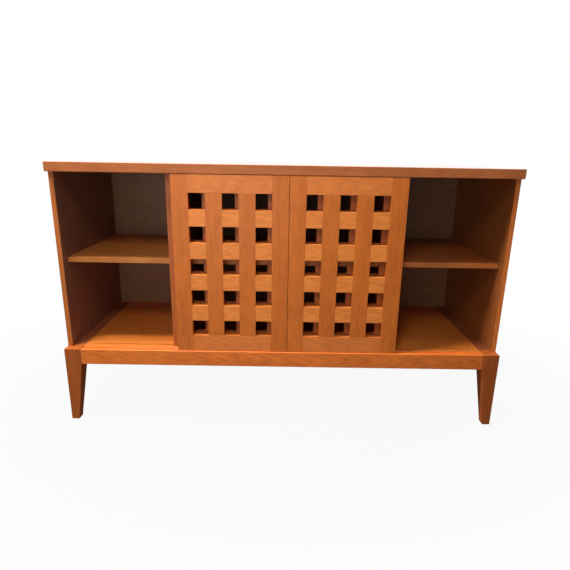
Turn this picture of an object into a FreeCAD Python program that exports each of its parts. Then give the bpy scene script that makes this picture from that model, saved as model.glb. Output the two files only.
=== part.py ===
"""A sideboard on a legged base, with four lattice doors that slide on two tracks.

Lengths are millimetres. X runs to the right as seen from the front, Y from the front to the back
and Z up. The origin lies on the floor under the middle of the base.
"""

import os
import re

import FreeCAD
import Part

SIZES = {
    # top board
    "top_length": 1524.0,
    "top_depth": 533.0,
    "top_thickness": 31.0,
    "top_edge_radius": 2.0,
    # base frame: legs, rails and the cleats inside them
    "base_reveal": 3.0,
    "base_height": 276.0,
    "rail_height": 56.0,
    "rail_thickness": 25.0,
    "ledge_margin": 2.0,
    "leg_width": 56.0,
    "leg_depth": 51.0,
    "foot_width": 27.0,
    "foot_depth": 27.0,
    "rail_tenon_length": 18.0,
    "rail_tenon_thickness": 9.0,
    "rail_tenon_shoulder": 8.0,
    "cleat_size": 20.0,
    "cleat_gap": 1.0,
    # case boards
    "case_height": 607.0,
    "side_thickness": 16.0,
    "side_clearance": 2.0,
    "bottom_thickness": 18.0,
    "bottom_gap": 0.3,
    "divider_thickness": 18.0,
    "divider_offset": 380.0,
    "back_thickness": 9.0,
    "back_inset": 3.0,
    "back_rebate": 8.0,
    "back_gap": 0.3,
    # shelves and their pins
    "shelf_level": 299.0,
    "shelf_thickness": 18.0,
    "shelf_clearance": 3.0,
    "shelf_end_gap": 1.0,
    "shelf_back_gap": 2.0,
    "shelf_notch": 8.0,
    "pin_diameter": 6.0,
    "pin_depth": 7.5,
    "pin_reach": 10.0,
    "pin_clearance": 0.1,
    "pin_spacing": 43.5,
    "pin_front_offset": 84.0,
    "pin_back_offset": 70.0,
    # screws of the back panel
    "screw_diameter": 3.6,
    "screw_grip": 14.0,
    "screw_head_diameter": 7.0,
    "screw_head_height": 2.4,
    "screw_clearance": 0.1,
    "screw_margin": 40.0,
    # doors
    "door_width": 380.1,
    "door_thickness": 22.0,
    "door_setback": 1.0,
    "door_gap": 1.0,
    "door_meeting_gap": 1.5,
    "door_offset": 15.5,
    "door_stop_gap": 1.0,
    "rear_door_width": 388.9,
    "rear_outer_stile": 63.1,
    "track_gap": 12.8,
    "stile_width": 54.3,
    "slat_width": 54.3,
    "door_rail_width": 58.0,
    "bar_width": 54.4,
    "tenon_length": 16.0,
    "slat_tenon_length": 10.0,
    "tenon_thickness": 7.0,
    "tenon_shoulder": 7.0,
    "joint_clearance": 0.1,
    # running tongues of the doors and their grooves
    "tongue_thickness": 6.0,
    "tongue_inset": 2.0,
    "tongue_drop": 8.0,
    "tongue_rise": 9.0,
    "tongue_end_inset": 2.0,
    "groove_clearance": 0.5,
    "groove_seat_gap": 0.3,
    "groove_top_play": 1.5,
    # how far every cutting shape runs past the face that it enters
    "cut_overrun": 1.0,
}

SLATS = 2
BARS = 4
PIN_ROWS = (-2, -1, 0, 1, 2)
SCREW_ROWS = 4

# places that several pieces share, as sums of the sizes above
BASE_X = "(top_length / 2 + base_reveal)"
BASE_Y = "(top_depth / 2 + base_reveal)"
FRONT_RAIL = "(base_reveal + door_setback + door_thickness + ledge_margin)"
CEILING = "(base_height + case_height)"
SIDE_IN = "(top_length / 2 - side_thickness)"
DIVIDER_IN = "(divider_offset - divider_thickness / 2)"
DIVIDER_OUT = "(divider_offset + divider_thickness / 2)"
SIDE_FRONT = "(door_setback + door_thickness + side_clearance - top_depth / 2)"
BACK_FACE = "(top_depth / 2 - back_inset - back_thickness)"
FRONT_DOOR_Y = "(door_setback - top_depth / 2)"
REAR_DOOR_Y = f"({FRONT_DOOR_Y} + door_thickness + track_gap)"
SHELF_FRONT = f"({REAR_DOOR_Y} + door_thickness + shelf_clearance)"
DOOR_BOTTOM = "(base_height + door_gap)"
DOOR_HEIGHT = "(case_height - 2 * door_gap)"
DOOR_TOP = f"({CEILING} - door_gap)"
BOARD_LEVEL = "(base_height - bottom_thickness)"
PIN_LEVEL = "(base_height + shelf_level + shelf_notch - pin_diameter / 2)"
TONGUE_BACK = "(door_thickness - tongue_inset)"
FRONT_RUN = "(top_length / 2 - stile_width - tongue_end_inset + door_stop_gap)"
REAR_RUN = f"({SIDE_IN} - rear_outer_stile - tongue_end_inset)"

doc = FreeCAD.newDocument("sideboard")
sheet = doc.addObject("Spreadsheet::Sheet", "Sizes")
for row, (alias, value) in enumerate(SIZES.items(), start=1):
    sheet.set(f"A{row}", alias)
    sheet.set(f"B{row}", str(value))
    sheet.setAlias(f"B{row}", alias)
doc.recompute()

pieces = []


def bind(text):
    """Point every word of a sum at its cell in the sheet."""
    return re.sub(r"[a-z][a-z_]*", lambda word: "Sizes." + word.group(), text)


def tie(item, corner, sizes):
    """Tie the place and the sizes of an object to sums of named sizes."""
    for axis, text in zip("xyz", corner):
        item.setExpression("Placement.Base." + axis, bind(text))
    for name, text in sizes.items():
        item.setExpression(name, bind(text))
    return item


def box(label, corner, size):
    """A block with its lowest corner at a place."""
    item = doc.addObject("Part::Box", label)
    return tie(item, corner, dict(zip(("Length", "Width", "Height"), size)))


def rod(label, start, length, diameter, turn):
    """A round bar that starts at a place and runs along a turned axis."""
    item = doc.addObject("Part::Cylinder", label)
    item.Placement.Rotation = turn
    return tie(item, start, {"Radius": f"({diameter}) / 2", "Height": length})


ALONG_X = FreeCAD.Rotation(FreeCAD.Vector(0, 1, 0), 90)
ALONG_Y = FreeCAD.Rotation(FreeCAD.Vector(1, 0, 0), -90)
UPRIGHT = FreeCAD.Rotation(FreeCAD.Vector(1, 0, 0), 90)


def group(label, items):
    """Several separate solids under one name."""
    item = doc.addObject("Part::Compound", label)
    item.Links = items
    return item


def solid(label, blocks, cuts=()):
    """Join the blocks and take the cuts away."""
    item = blocks[0]
    if len(blocks) > 1:
        item = doc.addObject("Part::MultiFuse", label + "_joined")
        item.Shapes = blocks
        item.Refine = True
    if cuts:
        whole = item
        item = doc.addObject("Part::Cut", label + "_cut")
        item.Base = whole
        item.Tool = cuts[0] if len(cuts) == 1 else group(label + "_cuts", list(cuts))
    item.Label = label
    return item


def piece(label, blocks, cuts=()):
    """A solid that is listed as one piece."""
    pieces.append(solid(label, blocks, cuts))


def minus(text):
    return f"(0 - {text})"


def tongue_groove(kind, label, run, door_y, bottom, depth):
    """The groove in which the tongues of two doors run, from minus run to plus run."""
    corner = (
        minus(run),
        f"{door_y} + {TONGUE_BACK} - tongue_thickness - groove_clearance",
        bottom,
    )
    size = (f"2 * {run}", "tongue_thickness + 2 * groove_clearance", depth)
    if kind == "Part::Box":
        return box(label, corner, size)
    item = top.newObject(kind, label)
    return tie(item, corner, dict(zip(("Length", "Width", "Height"), size)))


# top board with eased edges and two grooves below
top = doc.addObject("PartDesign::Body", "top_panel")
slab = top.newObject("PartDesign::AdditiveBox", "top_board")
tie(
    slab,
    ("0 - top_length / 2", "0 - top_depth / 2", CEILING),
    {"Length": "top_length", "Width": "top_depth", "Height": "top_thickness"},
)
doc.recompute()
eased = top.newObject("PartDesign::Fillet", "top_eased_edges")
eased.Base = (slab, [f"Edge{n + 1}" for n in range(len(slab.Shape.Edges))])
eased.setExpression("Radius", bind("top_edge_radius"))
for label, run, door_y in (
    ("top_front_groove", FRONT_RUN, FRONT_DOOR_Y),
    ("top_rear_groove", REAR_RUN, REAR_DOOR_Y),
):
    groove = tongue_groove(
        "PartDesign::SubtractiveBox",
        label,
        run,
        door_y,
        f"{CEILING} - cut_overrun",
        "tongue_rise - door_gap + groove_top_play + cut_overrun",
    )
    top.Tip = groove
pieces.append(top)

# legs: straight where the rails meet them, tapered on their inner faces below
RAIL_LEVEL = "(base_height - rail_height)"
for back in (False, True):
    for right in (False, True):
        label = f"{'back' if back else 'front'}_{'right' if right else 'left'}_leg"
        outer_x = BASE_X if right else minus(BASE_X)
        outer_y = BASE_Y if back else minus(BASE_Y)
        shaft = doc.addObject("Part::Wedge", label + "_shaft")
        shaft.Placement.Rotation = UPRIGHT
        tie(
            shaft,
            (outer_x, outer_y, "0"),
            {
                "Ymin": "0",
                "Ymax": RAIL_LEVEL,
                "Xmin": "0 - foot_width" if right else "0",
                "Xmax": "0" if right else "foot_width",
                "Zmin": "0" if back else "0 - foot_depth",
                "Zmax": "foot_depth" if back else "0",
                "X2min": "0 - leg_width" if right else "0",
                "X2max": "0" if right else "leg_width",
                "Z2min": "0" if back else "0 - leg_depth",
                "Z2max": "leg_depth" if back else "0",
            },
        )
        head = box(
            label + "_head",
            (
                f"{BASE_X} - leg_width" if right else outer_x,
                f"{BASE_Y} - leg_depth" if back else outer_y,
                RAIL_LEVEL,
            ),
            ("leg_width", "leg_depth", "rail_height"),
        )
        thick = "rail_thickness" if back else FRONT_RAIL
        mortise_long = "rail_tenon_length + joint_clearance + cut_overrun"
        mortise_wide = "(rail_tenon_thickness + 2 * joint_clearance)"
        mortise_high = "rail_height - 2 * rail_tenon_shoulder + 2 * joint_clearance"
        mortise_level = f"{RAIL_LEVEL} + rail_tenon_shoulder - joint_clearance"
        mortise_end = "(rail_tenon_length + joint_clearance)"
        x_start = f"0 - {BASE_X} + leg_width - {mortise_end}"
        y_start = f"0 - {BASE_Y} + leg_depth - {mortise_end}"
        if right:
            x_start = f"{BASE_X} - leg_width - cut_overrun"
        if back:
            y_start = f"{BASE_Y} - leg_depth - cut_overrun"
        long_mid = f"({thick} - rail_tenon_thickness) / 2"
        short_mid = "(leg_width - rail_tenon_thickness) / 2"
        long_mortise = box(
            label + "_long_mortise",
            (
                x_start,
                f"{BASE_Y} - {long_mid} - rail_tenon_thickness - joint_clearance"
                if back
                else f"0 - {BASE_Y} + {long_mid} - joint_clearance",
                mortise_level,
            ),
            (mortise_long, mortise_wide, mortise_high),
        )
        short_mortise = box(
            label + "_short_mortise",
            (
                f"{BASE_X} - {short_mid} - rail_tenon_thickness - joint_clearance"
                if right
                else f"0 - {BASE_X} + {short_mid} - joint_clearance",
                y_start,
                mortise_level,
            ),
            (mortise_wide, mortise_long, mortise_high),
        )
        piece(label, [shaft, head], [long_mortise, short_mortise])

# long rails between the legs, with tenons, and the front one with its groove
for label, thick, y_face in (
    ("front_base_rail", FRONT_RAIL, minus(BASE_Y)),
    ("back_base_rail", "rail_thickness", f"({BASE_Y} - rail_thickness)"),
):
    half = f"({BASE_X} - leg_width)"
    body = box(label + "_body", (minus(half), y_face, RAIL_LEVEL), (f"2 * {half}", thick, "rail_height"))
    tenon = box(
        label + "_tenon",
        (
            f"0 - {half} - rail_tenon_length",
            f"{y_face} + ({thick} - rail_tenon_thickness) / 2",
            f"{RAIL_LEVEL} + rail_tenon_shoulder",
        ),
        (
            f"2 * {half} + 2 * rail_tenon_length",
            "rail_tenon_thickness",
            "rail_height - 2 * rail_tenon_shoulder",
        ),
    )
    cuts = []
    if label == "front_base_rail":
        cuts.append(
            tongue_groove(
                "Part::Box",
                label + "_groove",
                FRONT_RUN,
                FRONT_DOOR_Y,
                "base_height + door_gap - tongue_drop - groove_seat_gap",
                "tongue_drop + groove_seat_gap - door_gap + cut_overrun",
            )
        )
    piece(label, [body, tenon], cuts)

# short rails between the legs, as wide as these, so that they show beside the floor board
for label, x_face in (
    ("left_base_rail", minus(BASE_X)),
    ("right_base_rail", f"({BASE_X} - leg_width)"),
):
    half = f"({BASE_Y} - leg_depth)"
    body = box(
        label + "_body",
        (x_face, minus(half), RAIL_LEVEL),
        ("leg_width", f"2 * {half}", "rail_height"),
    )
    tenon = box(
        label + "_tenon",
        (
            f"{x_face} + (leg_width - rail_tenon_thickness) / 2",
            f"0 - {half} - rail_tenon_length",
            f"{RAIL_LEVEL} + rail_tenon_shoulder",
        ),
        (
            "rail_tenon_thickness",
            f"2 * {half} + 2 * rail_tenon_length",
            "rail_height - 2 * rail_tenon_shoulder",
        ),
    )
    piece(label, [body, tenon])

# cleats along the long rails, under the floor board
cleat_half = f"({BASE_X} - leg_width - cleat_gap)"
cleats = [
    box(
        label,
        (minus(cleat_half), y_face, f"{BOARD_LEVEL} - cleat_size"),
        (f"2 * {cleat_half}", "cleat_size", "cleat_size"),
    )
    for label, y_face in (
        ("front_cleat", f"{FRONT_RAIL} - {BASE_Y}"),
        ("back_cleat", f"{BASE_Y} - rail_thickness - cleat_size"),
    )
]
pieces.append(group("bottom_cleats", cleats))

# floor board, let into the base, with the groove of the rear doors
board_half = f"({BASE_X} - leg_width - bottom_gap)"
board = box(
    "bottom_board",
    (minus(board_half), f"{FRONT_RAIL} + bottom_gap - {BASE_Y}", BOARD_LEVEL),
    (
        f"2 * {board_half}",
        f"2 * {BASE_Y} - {FRONT_RAIL} - rail_thickness - 2 * bottom_gap",
        "bottom_thickness",
    ),
)
board_groove = tongue_groove(
    "Part::Box",
    "bottom_panel_groove",
    REAR_RUN,
    REAR_DOOR_Y,
    "base_height + door_gap - tongue_drop - groove_seat_gap",
    "tongue_drop + groove_seat_gap - door_gap + cut_overrun",
)
piece("bottom_panel", [board], [board_groove])

# places of the shelf pins and of the back screws
PIN_COLUMNS = {
    "front": f"({SIDE_FRONT} + pin_front_offset)",
    "back": f"({BACK_FACE} - pin_back_offset)",
}
SCREW_COLUMNS = {
    "left": f"(0 - {SIDE_IN} - back_rebate / 2)",
    "left_middle": "(0 - divider_offset)",
    "right_middle": "divider_offset",
    "right": f"({SIDE_IN} + back_rebate / 2)",
}
SCREW_STEP = f"((case_height - 2 * screw_margin) / {SCREW_ROWS - 1})"
SCREW_LEVELS = [f"base_height + screw_margin + {n} * {SCREW_STEP}" for n in range(SCREW_ROWS)]


def pin_holes(label, x_start):
    """Rows of shelf pin holes in one face of an upright board."""
    holes = []
    for column, y_place in PIN_COLUMNS.items():
        for n in PIN_ROWS:
            place = (x_start, y_place, f"{PIN_LEVEL} + {n} * pin_spacing")
            holes.append(
                rod(
                    f"{label}_{column}_hole",
                    place,
                    "pin_depth + pin_clearance + cut_overrun",
                    "pin_diameter + 2 * pin_clearance",
                    ALONG_X,
                )
            )
    return holes


def screw_holes(label, column):
    """Holes of one column of back screws."""
    return [
        rod(
            label + "_screw_hole",
            (SCREW_COLUMNS[column], f"{BACK_FACE} - screw_grip - screw_clearance", level),
            "screw_grip + screw_clearance + back_thickness + cut_overrun",
            "screw_diameter + 2 * screw_clearance",
            ALONG_Y,
        )
        for level in SCREW_LEVELS
    ]


# sides, with a rebate for the back panel
for label, right in (("left_side", False), ("right_side", True)):
    board = box(
        label + "_board",
        (SIDE_IN if right else "0 - top_length / 2", SIDE_FRONT, "base_height"),
        ("side_thickness", f"top_depth / 2 - {SIDE_FRONT}", "case_height"),
    )
    rebate = box(
        label + "_rebate",
        (
            f"{SIDE_IN} - cut_overrun" if right else f"0 - {SIDE_IN} - back_rebate",
            BACK_FACE,
            "base_height - cut_overrun",
        ),
        (
            "back_rebate + cut_overrun",
            "back_thickness + back_inset + cut_overrun",
            "case_height + 2 * cut_overrun",
        ),
    )
    hole_start = (
        f"{SIDE_IN} - cut_overrun" if right else f"0 - {SIDE_IN} - pin_depth - pin_clearance"
    )
    cuts = [rebate] + pin_holes(label, hole_start) + screw_holes(label, "right" if right else "left")
    piece(label, [board], cuts)

# dividers between the three bays, behind the rear doors, a pair under one name
dividers = []
for label, right in (("left_divider", False), ("right_divider", True)):
    x_face = DIVIDER_IN if right else minus(DIVIDER_OUT)
    board = box(
        label + "_board",
        (x_face, SHELF_FRONT, "base_height"),
        ("divider_thickness", f"{BACK_FACE} - {SHELF_FRONT}", "case_height"),
    )
    cuts = pin_holes(label + "_left", f"{x_face} - cut_overrun")
    cuts += pin_holes(label + "_right", f"{x_face} + divider_thickness - pin_depth - pin_clearance")
    cuts += screw_holes(label, "right_middle" if right else "left_middle")
    dividers.append(solid(label, [board], cuts))
pieces.append(group("dividers", dividers))

# back panel in the rebates of the sides
back_half = f"({SIDE_IN} + back_rebate - back_gap)"
board = box(
    "back_board",
    (minus(back_half), BACK_FACE, "base_height"),
    (f"2 * {back_half}", "back_thickness", "case_height - back_gap"),
)
cuts = []
for column in SCREW_COLUMNS:
    cuts += screw_holes("back_" + column, column)
piece("back_panel", [board], cuts)

# screws of the back panel
screws = []
for column, x_place in SCREW_COLUMNS.items():
    for level in SCREW_LEVELS:
        shank = rod(
            f"{column}_screw_shank",
            (x_place, f"{BACK_FACE} - screw_grip", level),
            "screw_grip + back_thickness + screw_head_height / 2",
            "screw_diameter",
            ALONG_Y,
        )
        head = rod(
            f"{column}_screw_head",
            (x_place, f"{BACK_FACE} + back_thickness", level),
            "screw_head_height",
            "screw_head_diameter",
            ALONG_Y,
        )
        screw = doc.addObject("Part::MultiFuse", f"{column}_screw")
        screw.Shapes = [shank, head]
        screws.append(screw)
pieces.append(group("back_screws", screws))

# shelves between the uprights, notched below over their pins
pins = []
NOTCH = "(pin_reach - shelf_end_gap + pin_clearance + cut_overrun)"
for label, near, far in (
    ("left_shelf", minus(SIDE_IN), minus(DIVIDER_OUT)),
    ("center_shelf", minus(DIVIDER_IN), DIVIDER_IN),
    ("right_shelf", DIVIDER_OUT, SIDE_IN),
):
    low, high = f"({near} + shelf_end_gap)", f"({far} - shelf_end_gap)"
    board = box(
        label + "_board",
        (low, SHELF_FRONT, "base_height + shelf_level"),
        (f"{high} - {low}", f"{BACK_FACE} - shelf_back_gap - {SHELF_FRONT}", "shelf_thickness"),
    )
    cuts = []
    for column, y_place in PIN_COLUMNS.items():
        for x_notch in (f"{low} - cut_overrun", f"{high} + cut_overrun - {NOTCH}"):
            cuts.append(
                box(
                    f"{label}_{column}_notch",
                    (
                        x_notch,
                        f"{y_place} - pin_diameter / 2 - pin_clearance",
                        "base_height + shelf_level - cut_overrun",
                    ),
                    (NOTCH, "pin_diameter + 2 * pin_clearance", "shelf_notch + cut_overrun"),
                )
            )
        for x_pin in (f"{near} - pin_depth", f"{far} - pin_reach"):
            pins.append(
                rod(
                    f"{label}_{column}_pin",
                    (x_pin, y_place, PIN_LEVEL),
                    "pin_depth + pin_reach",
                    "pin_diameter",
                    ALONG_X,
                )
            )
    piece(label, [board], cuts)
pieces.append(group("shelf_pins", pins))


def lattice_door(label, x_left, y_front, left_stile, right_stile, width):
    """One door: stiles, rails, upright slats and cross bars, halved where they cross."""
    x_in = f"({x_left} + {left_stile})"
    inner = f"({width} - {left_stile} - {right_stile})"
    hole_width = f"(({inner} - {SLATS} * slat_width) / {SLATS + 1})"
    hole_height = f"(({DOOR_HEIGHT} - 2 * door_rail_width - {BARS} * bar_width) / {BARS + 1})"
    y_tenon = f"{y_front} + (door_thickness - tenon_thickness) / 2"
    y_mortise = f"{y_tenon} - joint_clearance"
    mortise_thick = "tenon_thickness + 2 * joint_clearance"
    top_level = f"({DOOR_TOP} - door_rail_width)"
    slat_x = [f"({x_in} + {hole_width} + {n} * ({hole_width} + slat_width))" for n in range(SLATS)]
    bar_z = [
        f"({top_level} - {n + 1} * ({hole_height} + bar_width))" for n in range(BARS)
    ]
    across = [(top_level, "door_rail_width"), (DOOR_BOTTOM, "door_rail_width")]
    across += [(level, "bar_width") for level in bar_z]

    # stiles, with a mortise for every rail and bar
    for side, x_face, stile in (("left", x_left, left_stile), ("right", f"({x_in} + {inner})", right_stile)):
        name = f"{label}_{side}_stile"
        body = box(name + "_body", (x_face, y_front, DOOR_BOTTOM), (stile, "door_thickness", DOOR_HEIGHT))
        x_mortise = f"{x_in} - tenon_length - joint_clearance"
        if side == "right":
            x_mortise = f"{x_face} - cut_overrun"
        cuts = [
            box(
                name + "_mortise",
                (x_mortise, y_mortise, f"{level} + tenon_shoulder - joint_clearance"),
                (
                    "tenon_length + joint_clearance + cut_overrun",
                    mortise_thick,
                    f"{wide} - 2 * tenon_shoulder + 2 * joint_clearance",
                ),
            )
            for level, wide in across
        ]
        piece(name, [body], cuts)

    # rails and bars share their body and through tenon
    def crosspiece(name, level, wide):
        body = box(name + "_body", (x_in, y_front, level), (inner, "door_thickness", wide))
        tenon = box(
            name + "_tenon",
            (f"{x_in} - tenon_length", y_tenon, f"{level} + tenon_shoulder"),
            (f"{inner} + 2 * tenon_length", "tenon_thickness", f"{wide} - 2 * tenon_shoulder"),
        )
        return [body, tenon]

    # rails, each with a running tongue on its outer edge and mortises for the slats
    for side, level in (("top", top_level), ("bottom", DOOR_BOTTOM)):
        name = f"{label}_{side}_rail"
        upper = side == "top"
        tongue = box(
            name + "_tongue",
            (
                f"{x_in} + tongue_end_inset",
                f"{y_front} + {TONGUE_BACK} - tongue_thickness",
                DOOR_TOP if upper else f"{DOOR_BOTTOM} - tongue_drop",
            ),
            (
                f"{inner} - 2 * tongue_end_inset",
                "tongue_thickness",
                "tongue_rise" if upper else "tongue_drop",
            ),
        )
        mortise_level = (
            f"{top_level} - cut_overrun"
            if upper
            else f"{DOOR_BOTTOM} + door_rail_width - slat_tenon_length - joint_clearance"
        )
        cuts = [
            box(
                name + "_mortise",
                (f"{x_slat} + tenon_shoulder - joint_clearance", y_mortise, mortise_level),
                (
                    "slat_width - 2 * tenon_shoulder + 2 * joint_clearance",
                    mortise_thick,
                    "slat_tenon_length + joint_clearance + cut_overrun",
                ),
            )
            for x_slat in slat_x
        ]
        piece(name, crosspiece(name, level, "door_rail_width") + [tongue], cuts)

    # upright slats, whole at the front and halved away behind at every bar
    for side, x_slat in zip(("left", "right"), slat_x):
        name = f"{label}_{side}_slat"
        foot = f"({DOOR_BOTTOM} + door_rail_width)"
        body = box(
            name + "_body",
            (x_slat, y_front, foot),
            ("slat_width", "door_thickness", f"{top_level} - {foot}"),
        )
        tenon = box(
            name + "_tenon",
            (f"{x_slat} + tenon_shoulder", y_tenon, f"{foot} - slat_tenon_length"),
            (
                "slat_width - 2 * tenon_shoulder",
                "tenon_thickness",
                f"{top_level} - {foot} + 2 * slat_tenon_length",
            ),
        )
        cuts = [
            box(
                name + "_halving",
                (f"{x_slat} - cut_overrun", f"{y_front} + door_thickness / 2", f"{level} - joint_clearance"),
                (
                    "slat_width + 2 * cut_overrun",
                    "door_thickness / 2 + cut_overrun",
                    "bar_width + 2 * joint_clearance",
                ),
            )
            for level in bar_z
        ]
        piece(name, [body, tenon], cuts)

    # cross bars, halved away in front at every slat
    for n, level in enumerate(bar_z, start=1):
        name = f"{label}_bar_{n}"
        cuts = [
            box(
                name + "_halving",
                (f"{x_slat} - joint_clearance", f"{y_front} - cut_overrun", f"{level} - cut_overrun"),
                (
                    "slat_width + 2 * joint_clearance",
                    "door_thickness / 2 + joint_clearance + cut_overrun",
                    "bar_width + 2 * cut_overrun",
                ),
            )
            for x_slat in slat_x
        ]
        piece(name, crosspiece(name, level, "bar_width"), cuts)


half_gap = "door_meeting_gap / 2"
lattice_door(
    "front_left_door",
    f"(door_offset - {half_gap} - door_width)",
    FRONT_DOOR_Y,
    "stile_width",
    "stile_width",
    "door_width",
)
lattice_door(
    "front_right_door",
    f"(door_offset + {half_gap})",
    FRONT_DOOR_Y,
    "stile_width",
    "stile_width",
    "door_width",
)
lattice_door(
    "rear_left_door",
    f"(0 - {half_gap} - rear_door_width)",
    REAR_DOOR_Y,
    "rear_outer_stile",
    "stile_width",
    "rear_door_width",
)
lattice_door(
    "rear_right_door",
    f"({half_gap})",
    REAR_DOOR_Y,
    "stile_width",
    "rear_outer_stile",
    "rear_door_width",
)

doc.recompute()

faults = []
for item in pieces:
    if "Invalid" in item.State or "Error" in item.State:
        faults.append(f"{item.Label}: {item.State}")
    elif item.Shape.isNull() or not item.Shape.isValid() or not item.Shape.Solids:
        faults.append(f"{item.Label}: no valid solid")
if faults:
    raise RuntimeError("; ".join(faults))

os.makedirs("parts", exist_ok=True)
for item in pieces:
    item.Shape.exportStep(f"parts/{item.Label}.step")
print(len(pieces), "pieces written")
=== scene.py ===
"""Looks of the cherry sideboard with sliding lattice doors: wood, metal, floor, light and camera."""
import math

import bpy
from mathutils import Matrix, Vector

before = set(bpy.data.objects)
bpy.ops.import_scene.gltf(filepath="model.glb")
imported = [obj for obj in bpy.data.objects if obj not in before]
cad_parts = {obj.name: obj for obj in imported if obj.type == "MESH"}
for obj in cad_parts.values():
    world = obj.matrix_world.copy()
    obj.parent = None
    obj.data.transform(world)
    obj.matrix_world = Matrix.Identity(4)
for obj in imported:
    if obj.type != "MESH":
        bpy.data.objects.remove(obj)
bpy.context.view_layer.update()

MM = 0.001
X, Y, Z = 0, 1, 2


# Helpers for nodes and colours

def srgb(red, green, blue):
    """A colour read from a picture, 0 to 255 per channel, as a linear colour with full alpha."""
    def linear(value):
        part = value / 255
        return part / 12.92 if part <= 0.04045 else ((part + 0.055) / 1.055) ** 2.4
    return (linear(red), linear(green), linear(blue), 1.0)


class Graph:
    """The nodes of one material or world. add() makes a node, sets its inputs and links them."""

    def __init__(self, owner):
        owner.use_nodes = True
        self.tree = owner.node_tree
        self.tree.nodes.clear()

    def put(self, socket, value):
        if isinstance(value, bpy.types.NodeSocket):
            self.tree.links.new(value, socket)
        else:
            socket.default_value = value

    def add(self, kind, inputs=None, **settings):
        node = self.tree.nodes.new(kind)
        for key, value in settings.items():
            setattr(node, key, value)
        for key, value in (inputs or {}).items():
            self.put(node.inputs[key], value)
        return node

    def math(self, operation, *values):
        return self.add("ShaderNodeMath", dict(enumerate(values)), operation=operation).outputs[0]

    def vector(self, operation, *values):
        return self.add("ShaderNodeVectorMath", dict(enumerate(values)), operation=operation).outputs[0]

    def measure(self, operation, *values):
        node = self.add("ShaderNodeVectorMath", dict(enumerate(values)), operation=operation)
        return node.outputs["Value"]

    def noise(self, vector, scale, detail, distortion=0.0):
        inputs = {"Vector": vector, "Scale": scale, "Detail": detail, "Distortion": distortion}
        return self.add("ShaderNodeTexNoise", inputs).outputs["Fac"]

    def spread(self, value, low, high, to_low=0.0, to_high=1.0):
        """value from low..high brought to to_low..to_high, and held at both ends."""
        inputs = {"Value": value, "From Min": low, "From Max": high, "To Min": to_low, "To Max": to_high}
        return self.add("ShaderNodeMapRange", inputs).outputs["Result"]

    def ramp(self, value, stops):
        node = self.add("ShaderNodeValToRGB", {"Fac": value})
        elements = node.color_ramp.elements
        while len(elements) < len(stops):
            elements.new(0.5)
        for element, (position, colour) in zip(elements, stops):
            element.position = position
            element.color = colour
        return node.outputs["Color"]

    def mix(self, factor, first, second):
        """Two colours mixed. The node's colour sockets are its inputs 6 and 7 and its output 2."""
        node = self.add("ShaderNodeMix", {0: factor}, data_type="RGBA")
        self.put(node.inputs[6], first)
        self.put(node.inputs[7], second)
        return node.outputs[2]

    def bump(self, height, distance):
        inputs = {"Height": height, "Strength": 0.1, "Distance": distance}
        return self.add("ShaderNodeBump", inputs).outputs[0]

    def surface(self, shader):
        self.add("ShaderNodeOutputMaterial", {"Surface": shader})


# Wood

HALF_PLANK = 62 * MM
TRUNK_LEAN = 0.07
RING_WIDTH = 2.3 * MM
RING_WANDER = 22 * MM
PIECE_SHIFT = (13.0, 29.0, 41.0)
FACING = 0.7
GUM = srgb(96, 44, 20)


class Grain:
    """The marks of a wood whose grain runs along one axis, each piece cut from another place."""

    def __init__(self, graph, along):
        self.graph = graph
        self.along = along
        self.coordinates = graph.add("ShaderNodeTexCoord").outputs
        chance = graph.add("ShaderNodeObjectInfo").outputs["Random"]
        shift = graph.add("ShaderNodeVectorMath", {0: PIECE_SHIFT, "Scale": chance}, operation="SCALE")
        self.board = graph.vector("ADD", self.coordinates["Object"], shift.outputs[0])

    def scaled(self, lengthwise):
        """The place in the board, shrunk along the grain so that marks come out long."""
        return self.graph.vector("MULTIPLY", self.board, self.by_axis(lengthwise, 1.0))

    def by_axis(self, lengthwise, across):
        return [lengthwise if axis == self.along else across for axis in (X, Y, Z)]

    def noise(self, lengthwise, scale, detail, distortion=0.0):
        return self.graph.noise(self.scaled(lengthwise), scale, detail, distortion)

    def rings(self, stick):
        """Growth rings. The trunk leans from the saw's path, so they show as arches on a face."""
        graph = self.graph
        if stick:
            section, heart = stick
            middle = graph.vector("SUBTRACT", self.coordinates["Generated"], (0.5, 0.5, 0.5))
            plank = graph.vector("MULTIPLY_ADD", middle, section, heart)
        else:
            plank = graph.vector("WRAP", self.scaled(0.0), [HALF_PLANK] * 3, [-HALF_PLANK] * 3)
        radius = graph.measure("LENGTH", plank)
        rise = graph.measure("DOT_PRODUCT", self.board, self.by_axis(TRUNK_LEAN, 0.0))
        drift = graph.math("MULTIPLY", self.noise(0.3, scale=11.0, detail=2.0), RING_WANDER)
        depth = graph.math("ADD", graph.math("ADD", radius, rise), drift)
        wave = graph.math("PINGPONG", graph.math("DIVIDE", depth, RING_WIDTH), 1.0)
        return graph.math("POWER", wave, 2.0)

    def shade(self, ring, fibre):
        """How dark the wood is at a place, from 0 to 1: its rings and fibres, dashes, stripes and clouds."""
        graph = self.graph
        dash = self.noise(0.09, scale=210.0, detail=2.0)
        stripe = self.noise(0.05, scale=45.0, detail=2.0)
        cloud = self.noise(0.45, scale=24.0, detail=2.5, distortion=0.6)
        tone = graph.math("MULTIPLY", ring, 0.5)
        tone = graph.math("ADD", tone, graph.spread(fibre, 0.3, 0.7, -0.1, 0.1))
        for part, weight in ((dash, 0.28), (stripe, 0.18), (cloud, 0.3)):
            tone = graph.math("ADD", tone, graph.spread(part, 0.25, 0.75, -weight, weight))
        return graph.spread(tone, -0.5, 0.9)


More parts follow.
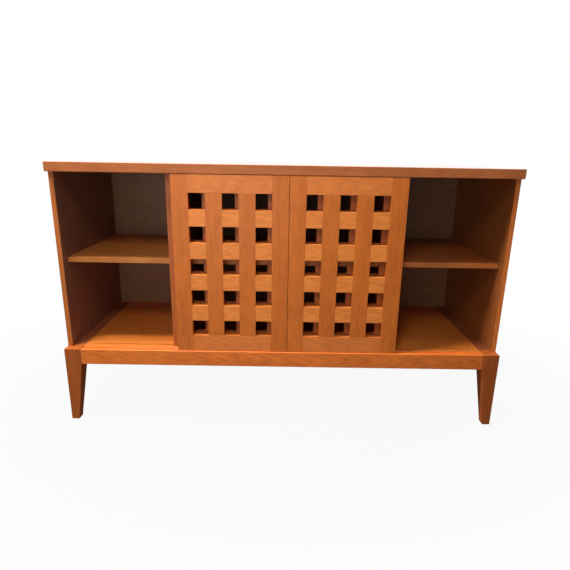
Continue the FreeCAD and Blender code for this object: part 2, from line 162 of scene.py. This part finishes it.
def wood(name, along, stops, stick=None, faces=None, fleck=0.25, gloss=0.4, polished=False):
    """Oiled cherry with its grain along one axis and colour stops from its pale to its dark grain.

    A stick has the size of its section, and the place of the trunk's heart from the middle of that section.
    A wide board has neither: it is glued up from planks. A veneered board has other stops on some of its
    faces, each named by its axis and side. On the side walls and the right shelf the main stops, which
    cover all but the named faces, are a darker copy of the wood: painted shade. A polished board has a
    clear coat on its upper face.
    """
    graph = Graph(material := bpy.data.materials.new(name))
    grain = Grain(graph, along)
    ring = grain.rings(stick)
    fibre = grain.noise(0.025, scale=380.0, detail=3.0)
    shade = grain.shade(ring, fibre)
    colour = graph.ramp(shade, stops)
    facing = graph.add("ShaderNodeSeparateXYZ", {0: graph.add("ShaderNodeNewGeometry").outputs["Normal"]})
    for (axis, side), other_stops in (faces or {}).items():
        turned = graph.math("GREATER_THAN", graph.math("MULTIPLY", facing.outputs[axis], side), FACING)
        colour = graph.mix(turned, colour, graph.ramp(shade, other_stops))
    gum = graph.spread(grain.noise(0.2, scale=160.0, detail=1.0), 0.70, 0.80)
    colour = graph.mix(graph.math("MULTIPLY", gum, fleck), colour, GUM)
    shader = graph.add("ShaderNodeBsdfPrincipled", {
        "Base Color": colour,
        "Roughness": graph.spread(fibre, 0.3, 0.7, 0.38, 0.5),
        "Specular IOR Level": gloss,
        "Coat Weight": graph.math("GREATER_THAN", facing.outputs["Z"], FACING) if polished else 0.0,
        "Coat Roughness": 0.04,
        "Normal": graph.bump(graph.math("ADD", fibre, ring), 0.2 * MM),
    })
    graph.surface(shader.outputs[0])
    return material


# Metal of the shelf pins and screws

def metal(name, bright, dull):
    """Turned metal with fine scratches and a little tarnish."""
    graph = Graph(material := bpy.data.materials.new(name))
    place = graph.add("ShaderNodeTexCoord").outputs["Object"]
    scratch = graph.noise(graph.vector("MULTIPLY", place, (1.0, 12.0, 1.0)), scale=900.0, detail=2.0)
    tarnish = graph.noise(place, scale=160.0, detail=3.0)
    shader = graph.add("ShaderNodeBsdfPrincipled", {
        "Base Color": graph.ramp(tarnish, [(0.35, bright), (0.75, dull)]),
        "Metallic": 1.0,
        "Roughness": graph.spread(scratch, 0.3, 0.7, 0.25, 0.42),
        "Normal": graph.bump(scratch, 0.05 * MM),
    })
    graph.surface(shader.outputs[0])
    return material


# Tones of the pieces

def tones(middle, contrast=0.2):
    """Stops of a colour ramp from the pale to the dark end of a wood, with its middle colour between.

    Green and blue change more than red, so that the dark grain is redder and the pale grain yellower.
    """
    shares = [contrast / 2 * weight for weight in (1.0, 1.4, 2.2)]
    stops = []
    for position, side in ((0.0, 1), (0.5, 0), (1.0, -1)):
        colour = [value * (1 + side * share) for value, share in zip(middle, shares)]
        stops.append((position, srgb(*colour)))
    return stops


TOP = tones((182, 104, 56), 0.24)
CASE = tones((186, 104, 48))
# The inner faces of the side walls are darker copies of the case wood, the left one greyer: painted shade.
LEFT_WALL_SHADED = tones((134, 90, 70))
RIGHT_WALL_SHADED = tones((148, 84, 39))
LEFT_LIPPING = tones((190, 105, 45))
# The right wall's front edge is a brighter copy of the left one's: painted light.
RIGHT_LIPPING_LIT = tones((228, 126, 54))
FLOOR = tones((207, 118, 45))
# The left shelf is a lighter, yellower copy and the right shelf a darker, redder copy of one shelf wood:
# painted light and painted shade.
LEFT_SHELF_LIT = tones((204, 126, 60))
RIGHT_SHELF_SHADED = tones((168, 91, 44))
SHELF_LIPPING = tones((200, 112, 52))
BASE = tones((226, 118, 42))
# The side rails are darker than the front rail: partly darker wood, partly painted shade along the walls.
SIDE_RAIL_DARK_AND_SHADED = tones((146, 78, 44))
# The legs are a darker copy of the base wood: painted shade for the dimmer light at the ends of the base.
LEG_SHADED = tones((172, 91, 42))
UPRIGHT = tones((205, 108, 34))
RAIL = tones((221, 124, 54), 0.14)
BAR = tones((234, 136, 59), 0.14)
# The rear doors are a darker copy of the door wood: painted shade for their recess behind the front doors.
REAR_DOOR_SHADED = tones((178, 93, 39))
BOARD = tones((138, 99, 67), 0.13)
CLEAT = tones((208, 168, 120))


# Finishes, and the pieces that have them

LYING = ((0.0, 22 * MM, 55 * MM), (0.0, 70 * MM, 4 * MM))
STANDING = ((55 * MM, 22 * MM, 0.0), (58 * MM, 60 * MM, 0.0))
FRONT = (Y, -1)
LEFT = (X, -1)
RIGHT = (X, 1)

FINISHES = {
    "top": wood("top_wood_x", X, TOP, gloss=0.25, polished=True),
    "shelf_floor": wood("floor_wood_x", X, FLOOR),
    "shelf_left": wood("left_shelf_lit_wood_x", X, LEFT_SHELF_LIT),
    "shelf_right": wood("right_shelf_shaded_wood_x", X, RIGHT_SHELF_SHADED, faces={FRONT: SHELF_LIPPING}),
    "left_wall": wood("left_wall_shaded_wood_z", Z, LEFT_WALL_SHADED, faces={FRONT: LEFT_LIPPING, LEFT: CASE}),
    "right_wall": wood("right_wall_shaded_wood_z", Z, RIGHT_WALL_SHADED, faces={FRONT: RIGHT_LIPPING_LIT, RIGHT: CASE}),
    "divider": wood("divider_wood_z", Z, CASE),
    "base_x": wood("base_wood_x", X, BASE, LYING),
    "base_y": wood("base_wood_y_dark_and_shaded", Y, SIDE_RAIL_DARK_AND_SHADED),
    "base_z": wood("base_wood_z_shaded", Z, LEG_SHADED, STANDING, gloss=0.05),
    "door_rail": wood("door_wood_rail", X, RAIL, LYING),
    "door_upright": wood("door_wood_upright", Z, UPRIGHT, STANDING),
    "door_bar": wood("door_wood_bar", X, BAR, LYING),
    "door_rear_x": wood("rear_door_shaded_wood_x", X, REAR_DOOR_SHADED, LYING),
    "door_rear_z": wood("rear_door_shaded_wood_z", Z, REAR_DOOR_SHADED, STANDING),
    "back": wood("back_board_x", X, BOARD, fleck=0.1),
    "cleat": wood("cleat_wood_x", X, CLEAT, fleck=0.1),
    "brass": metal("pin_brass", srgb(226, 186, 104), srgb(170, 128, 62)),
    "steel": metal("screw_steel", srgb(200, 200, 196), srgb(128, 126, 122)),
}

CASE_FINISH = {
    "top_panel": "top",
    "left_side": "left_wall",
    "right_side": "right_wall",
    "dividers": "divider",
    "bottom_panel": "shelf_floor",
    "left_shelf": "shelf_left",
    "center_shelf": "shelf_left",
    "right_shelf": "shelf_right",
    "back_panel": "back",
    "shelf_pins": "brass",
    "back_screws": "steel",
    "bottom_cleats": "cleat",
    "front_base_rail": "base_x",
    "back_base_rail": "base_x",
    "left_base_rail": "base_y",
    "right_base_rail": "base_y",
}

EASED = {"shelf": 0.8 * MM, "base": 2.0 * MM, "door": 0.5 * MM}


def finish_of(node):
    if node in CASE_FINISH:
        return CASE_FINISH[node]
    if node.endswith("_leg"):
        return "base_z"
    upright = node.endswith(("_stile", "_slat"))
    if node.startswith("rear_"):
        return "door_rear_z" if upright else "door_rear_x"
    if upright:
        return "door_upright"
    return "door_rail" if node.endswith("_rail") else "door_bar"


def ease_edges(piece, width):
    """The arrises of a board are broken by hand with a small round."""
    piece.modifiers.new("Join corners", "WELD").merge_threshold = 0.01 * MM
    bevel = piece.modifiers.new("Eased edges", "BEVEL")
    bevel.width = width
    bevel.segments = 2
    bevel.limit_method = "ANGLE"
    bevel.angle_limit = math.radians(40)
    bevel.use_clamp_overlap = False
    piece.modifiers.new("Flat faces", "WEIGHTED_NORMAL").keep_sharp = False


def dress_pieces():
    for node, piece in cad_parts.items():
        finish = finish_of(node)
        piece.data.materials.clear()
        piece.data.materials.append(FINISHES[finish])
        family = finish.split("_")[0]
        if family in EASED:
            ease_edges(piece, EASED[family])


# Floor, world and lamps

def floor_material():
    """A pale floor that the eye sees as white, with a faint shadow left under the object."""
    graph = Graph(material := bpy.data.materials.new("pale_floor"))
    place = graph.add("ShaderNodeTexCoord").outputs["Object"]
    speckle = graph.noise(place, scale=40.0, detail=3.0)
    colour = graph.ramp(speckle, [(0.3, srgb(122, 120, 118)), (0.7, srgb(130, 128, 126))])
    plain = graph.add("ShaderNodeBsdfDiffuse", {"Color": colour}).outputs[0]
    white = graph.add("ShaderNodeEmission", {"Strength": 1.0}).outputs[0]
    away = graph.measure("LENGTH", graph.vector("MULTIPLY", place, (0.7, 1.0, 1.0)))
    white_share = graph.spread(away, 0.5, 1.3, 0.93, 1.0)
    shown = graph.math("MULTIPLY", graph.add("ShaderNodeLightPath").outputs["Is Camera Ray"], white_share)
    graph.surface(graph.add("ShaderNodeMixShader", {0: shown, 1: plain, 2: white}).outputs[0])
    return material


def make_floor():
    half = 6.0
    mesh = bpy.data.meshes.new("floor")
    corners = [(-half, -half, 0), (half, -half, 0), (half, half, 0), (-half, half, 0)]
    mesh.from_pydata(corners, [], [(0, 1, 2, 3)])
    mesh.materials.append(floor_material())
    floor = bpy.data.objects.new("floor", mesh)
    bpy.context.scene.collection.objects.link(floor)


def make_world():
    """A white backdrop for the eye and for reflections, and a weak cool fill for the light."""
    world = bpy.data.worlds.new("studio")
    bpy.context.scene.world = world
    graph = Graph(world)
    fill = graph.add("ShaderNodeBackground", {"Color": srgb(228, 238, 255), "Strength": 0.05}).outputs[0]
    white = graph.add("ShaderNodeBackground", {"Color": srgb(255, 255, 255), "Strength": 1.0}).outputs[0]
    path = graph.add("ShaderNodeLightPath").outputs
    shown = graph.math("MAXIMUM", path["Is Camera Ray"], path["Is Glossy Ray"])
    both = graph.add("ShaderNodeMixShader", {0: shown, 1: fill, 2: white}).outputs[0]
    graph.add("ShaderNodeOutputWorld", {"Surface": both})


def add_lamp(name, place, aim, side, power, spread=180.0, mirrored=True):
    """A square lamp with its side in metres, its power in watts and its spread in degrees."""
    lamp = bpy.data.lights.new(name, "AREA")
    lamp.shape = "SQUARE"
    lamp.size = side
    lamp.energy = power
    lamp.color = srgb(255, 251, 246)[:3]
    lamp.spread = math.radians(spread)
    holder = bpy.data.objects.new(name, lamp)
    holder.location = place
    holder.rotation_euler = (Vector(aim) - Vector(place)).to_track_quat("-Z", "Y").to_euler()
    holder.visible_glossy = mirrored
    bpy.context.scene.collection.objects.link(holder)


def make_front_lamps():
    """A strong lamp over the left bay, a weak one over the right, and two in front, one with a grid."""
    middle = (-0.15, -0.25, 0.5)
    add_lamp("left_ceiling_lamp", (-1.08, -0.61, 2.85), (-0.4, -0.2, 0.4), side=0.45, power=102.0)
    add_lamp("right_ceiling_lamp", (0.5, -0.75, 2.85), (0.1, -0.2, 0.4), side=0.9, power=8.0)
    add_lamp("front_softbox", (-0.3, -1.87, 2.14), middle, side=0.45, power=3.2, spread=80.0)
    add_lamp("low_softbox", (-0.5, -2.2, 0.7), middle, side=0.8, power=6.8)


def make_outer_lamps():
    """Lamps behind the plane of the doors, for the outsides and the back. The top does not mirror them."""
    add_lamp("left_softbox", (-2.5, 0.5, 1.4), (-0.76, 0.1, 0.5), side=0.8, power=16.0, mirrored=False)
    add_lamp("right_softbox", (2.5, 0.5, 1.4), (0.76, 0.1, 0.5), side=0.8, power=22.0, mirrored=False)
    add_lamp("back_softbox", (0.0, 2.4, 1.6), (0.0, 0.27, 0.5), side=1.0, power=30.0, mirrored=False)


# Camera, fitted to the edges of the object in the photograph

def make_camera():
    pitch, yaw, roll = math.radians(15.29), math.radians(0.22), math.radians(0.96)
    place = Vector((-0.5, -1717.2, 949.1)) * MM
    forward = Vector((math.sin(yaw) * math.cos(pitch), math.cos(yaw) * math.cos(pitch), -math.sin(pitch)))
    level = Vector((math.cos(yaw), -math.sin(yaw), 0.0))
    upward = level.cross(forward)
    right = math.cos(roll) * level + math.sin(roll) * upward
    up = math.cos(roll) * upward - math.sin(roll) * level
    lens = bpy.data.cameras.new("photo_view")
    lens.sensor_width = 36.0
    lens.lens = 28.328
    lens.shift_y = -0.0153
    lens.clip_end = 50.0
    camera = bpy.data.objects.new("photo_view", lens)
    turn = Matrix((right, up, -forward)).transposed()
    camera.matrix_world = Matrix.Translation(place) @ turn.to_4x4()
    bpy.context.scene.collection.objects.link(camera)
    bpy.context.scene.camera = camera


dress_pieces()
make_floor()
make_world()
make_front_lamps()
make_outer_lamps()
make_camera()
bpy.context.scene.view_settings.view_transform = "Standard"
